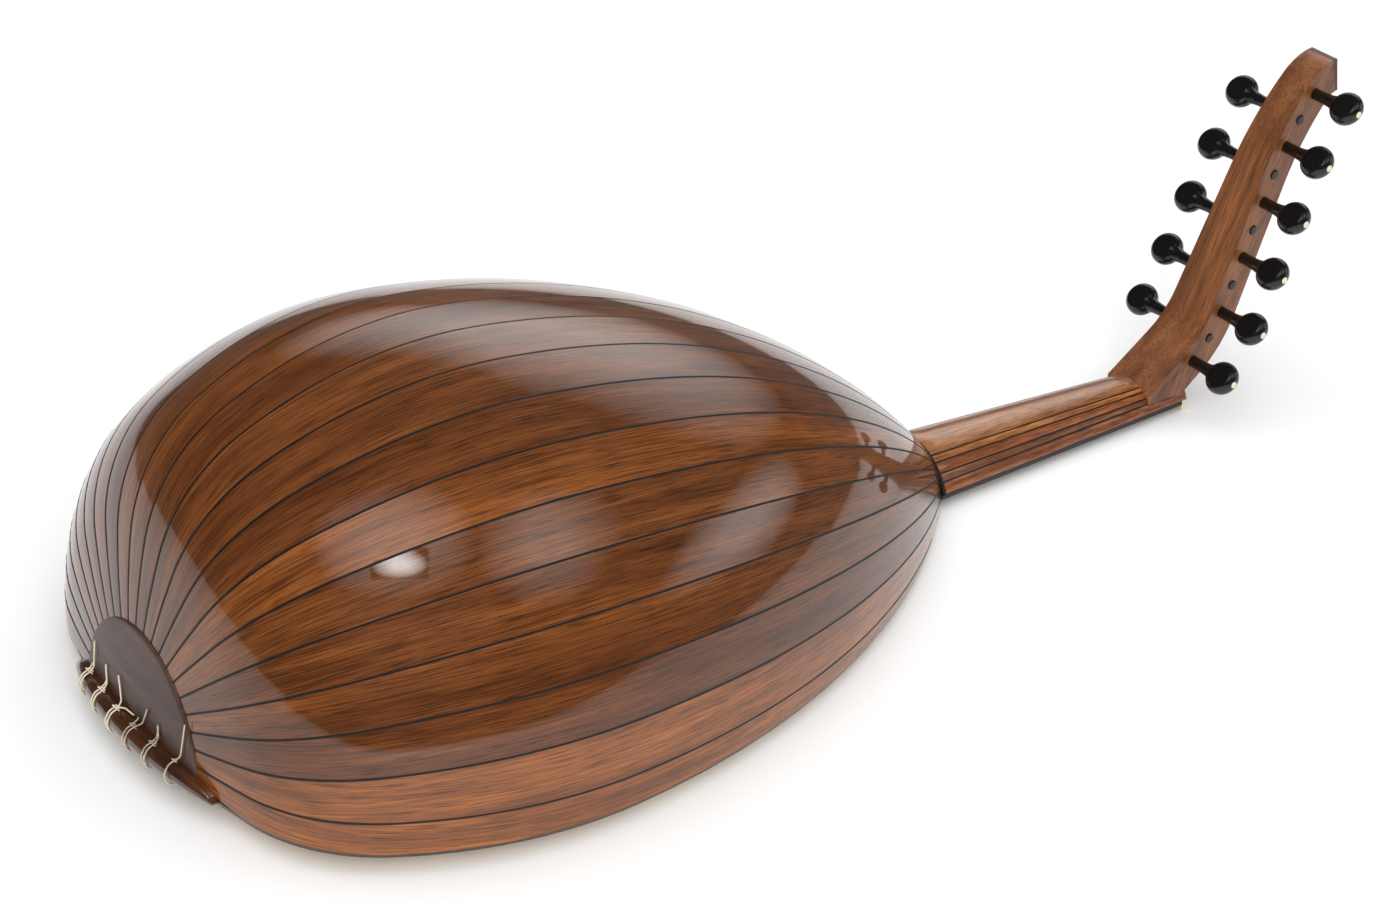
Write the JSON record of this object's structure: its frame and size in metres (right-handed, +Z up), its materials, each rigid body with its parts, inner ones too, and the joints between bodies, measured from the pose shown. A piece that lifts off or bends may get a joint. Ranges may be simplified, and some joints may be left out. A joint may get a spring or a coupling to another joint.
{
  "type": "oud",
  "caption": "Short-necked fretless lute with a deep ribbed bowl, bent-back pegbox, turning side pegs and strings tied at the tail, lying face down.",
  "frame": {"origin": "middle of the instrument's footprint on the surface that it lies on, face down", "axes": "+X from the tail to the neck and pegbox, +Y to the treble side, +Z up through the bowl's back"},
  "size_m": [0.8217, 0.37, 0.2078],
  "materials": {
    "rib_walnut": "high gloss lacquer over walnut",
    "neck_walnut": "satin oiled walnut staves",
    "pegbox_walnut": "satin oiled walnut",
    "black_line": "dyed black veneer, satin",
    "cap_rosewood": "dark rosewood under lacquer",
    "bar_rosewood": "dark red-brown rosewood, gloss",
    "guard_rosewood": "dark rosewood, satin",
    "binding_ebony": "dark binding, gloss",
    "board_ebony": "polished ebony",
    "peg_ebony": "polished ebony",
    "spruce": "bare spruce, matte",
    "inner_wood": "bare light wood, matte",
    "rose_bone": "bone, satin",
    "bone": "polished bone",
    "string_wound": "silvered winding on silk",
    "string_nylon": "clear nylon"
  },
  "bodies": {
    "instrument": {"rib_01": "rib_walnut", "rib_02": "rib_walnut", "rib_03": "rib_walnut", "rib_04": "rib_walnut", "rib_05": "rib_walnut", "rib_06": "rib_walnut", "rib_07": "rib_walnut", "rib_08": "rib_walnut", "rib_09": "rib_walnut", "rib_10": "rib_walnut", "rib_11": "rib_walnut", "rib_12": "rib_walnut", "rib_13": "rib_walnut", "rib_14": "rib_walnut", "rib_15": "rib_walnut", "rib_16": "rib_walnut", "rib_17": "rib_walnut", "rib_18": "rib_walnut", "rib_19": "rib_walnut", "rib_20": "rib_walnut", "rib_21": "rib_walnut", "rib_purfling": "black_line", "tail_cap": "cap_rosewood", "tail_bar": "bar_rosewood", "tail_block": "inner_wood", "neck_block": "inner_wood", "soundboard": "spruce", "edge_binding": "binding_ebony", "soundboard_braces": "spruce", "large_rose": "rose_bone", "small_roses": "rose_bone", "pickguard": "guard_rosewood", "neck_ring": "black_line", "neck_core": "inner_wood", "neck_staves": "neck_walnut", "neck_lines": "black_line", "fingerboard": "board_ebony", "nut": "bone", "pegbox_heel": "pegbox_walnut", "pegbox_back": "pegbox_walnut", "cheek_bass": "pegbox_walnut", "cheek_treble": "pegbox_walnut", "pegbox_tip": "pegbox_walnut", "tip_cap": "cap_rosewood", "strings_wound": "string_wound", "strings_plain": "string_nylon"},
    "peg_01": {"peg_01": "peg_ebony"},
    "peg_02": {"peg_02": "peg_ebony"},
    "peg_03": {"peg_03": "peg_ebony"},
    "peg_04": {"peg_04": "peg_ebony"},
    "peg_05": {"peg_05": "peg_ebony"},
    "peg_06": {"peg_06": "peg_ebony"},
    "peg_07": {"peg_07": "peg_ebony"},
    "peg_08": {"peg_08": "peg_ebony"},
    "peg_09": {"peg_09": "peg_ebony"},
    "peg_10": {"peg_10": "peg_ebony"},
    "peg_11": {"peg_11": "peg_ebony"},
    "bridge": {"bridge": "bar_rosewood"}
  },
  "joints": [
    {"name": "peg_01_turn", "type": "hinge", "parent": "instrument", "child": "peg_01", "pos_m": [0.30873, 0, 0.03246], "axis": [0, 1, 0], "continuous": true},
    {"name": "peg_02_turn", "type": "hinge", "parent": "instrument", "child": "peg_02", "pos_m": [0.32109, 0, 0.04478], "axis": [0, -1, 0], "continuous": true},
    {"name": "peg_03_turn", "type": "hinge", "parent": "instrument", "child": "peg_03", "pos_m": [0.3298, 0, 0.05991], "axis": [0, 1, 0], "continuous": true},
    {"name": "peg_04_turn", "type": "hinge", "parent": "instrument", "child": "peg_04", "pos_m": [0.33655, 0, 0.07648], "axis": [0, -1, 0], "continuous": true},
    {"name": "peg_05_turn", "type": "hinge", "parent": "instrument", "child": "peg_05", "pos_m": [0.3433, 0, 0.09306], "axis": [0, 1, 0], "continuous": true},
    {"name": "peg_06_turn", "type": "hinge", "parent": "instrument", "child": "peg_06", "pos_m": [0.35005, 0, 0.10964], "axis": [0, -1, 0], "continuous": true},
    {"name": "peg_07_turn", "type": "hinge", "parent": "instrument", "child": "peg_07", "pos_m": [0.35681, 0, 0.12622], "axis": [0, 1, 0], "continuous": true},
    {"name": "peg_08_turn", "type": "hinge", "parent": "instrument", "child": "peg_08", "pos_m": [0.36362, 0, 0.14281], "axis": [0, -1, 0], "continuous": true},
    {"name": "peg_09_turn", "type": "hinge", "parent": "instrument", "child": "peg_09", "pos_m": [0.3716, 0, 0.15898], "axis": [0, 1, 0], "continuous": true},
    {"name": "peg_10_turn", "type": "hinge", "parent": "instrument", "child": "peg_10", "pos_m": [0.38109, 0, 0.17432], "axis": [0, -1, 0], "continuous": true},
    {"name": "peg_11_turn", "type": "hinge", "parent": "instrument", "child": "peg_11", "pos_m": [0.39202, 0, 0.18867], "axis": [0, 1, 0], "continuous": true},
    {"name": "bridge_shift", "type": "slide", "parent": "instrument", "child": "bridge", "axis": [0.9999, 0, -0.0116], "range_m": [-0.002, 0.002]}
  ]
}
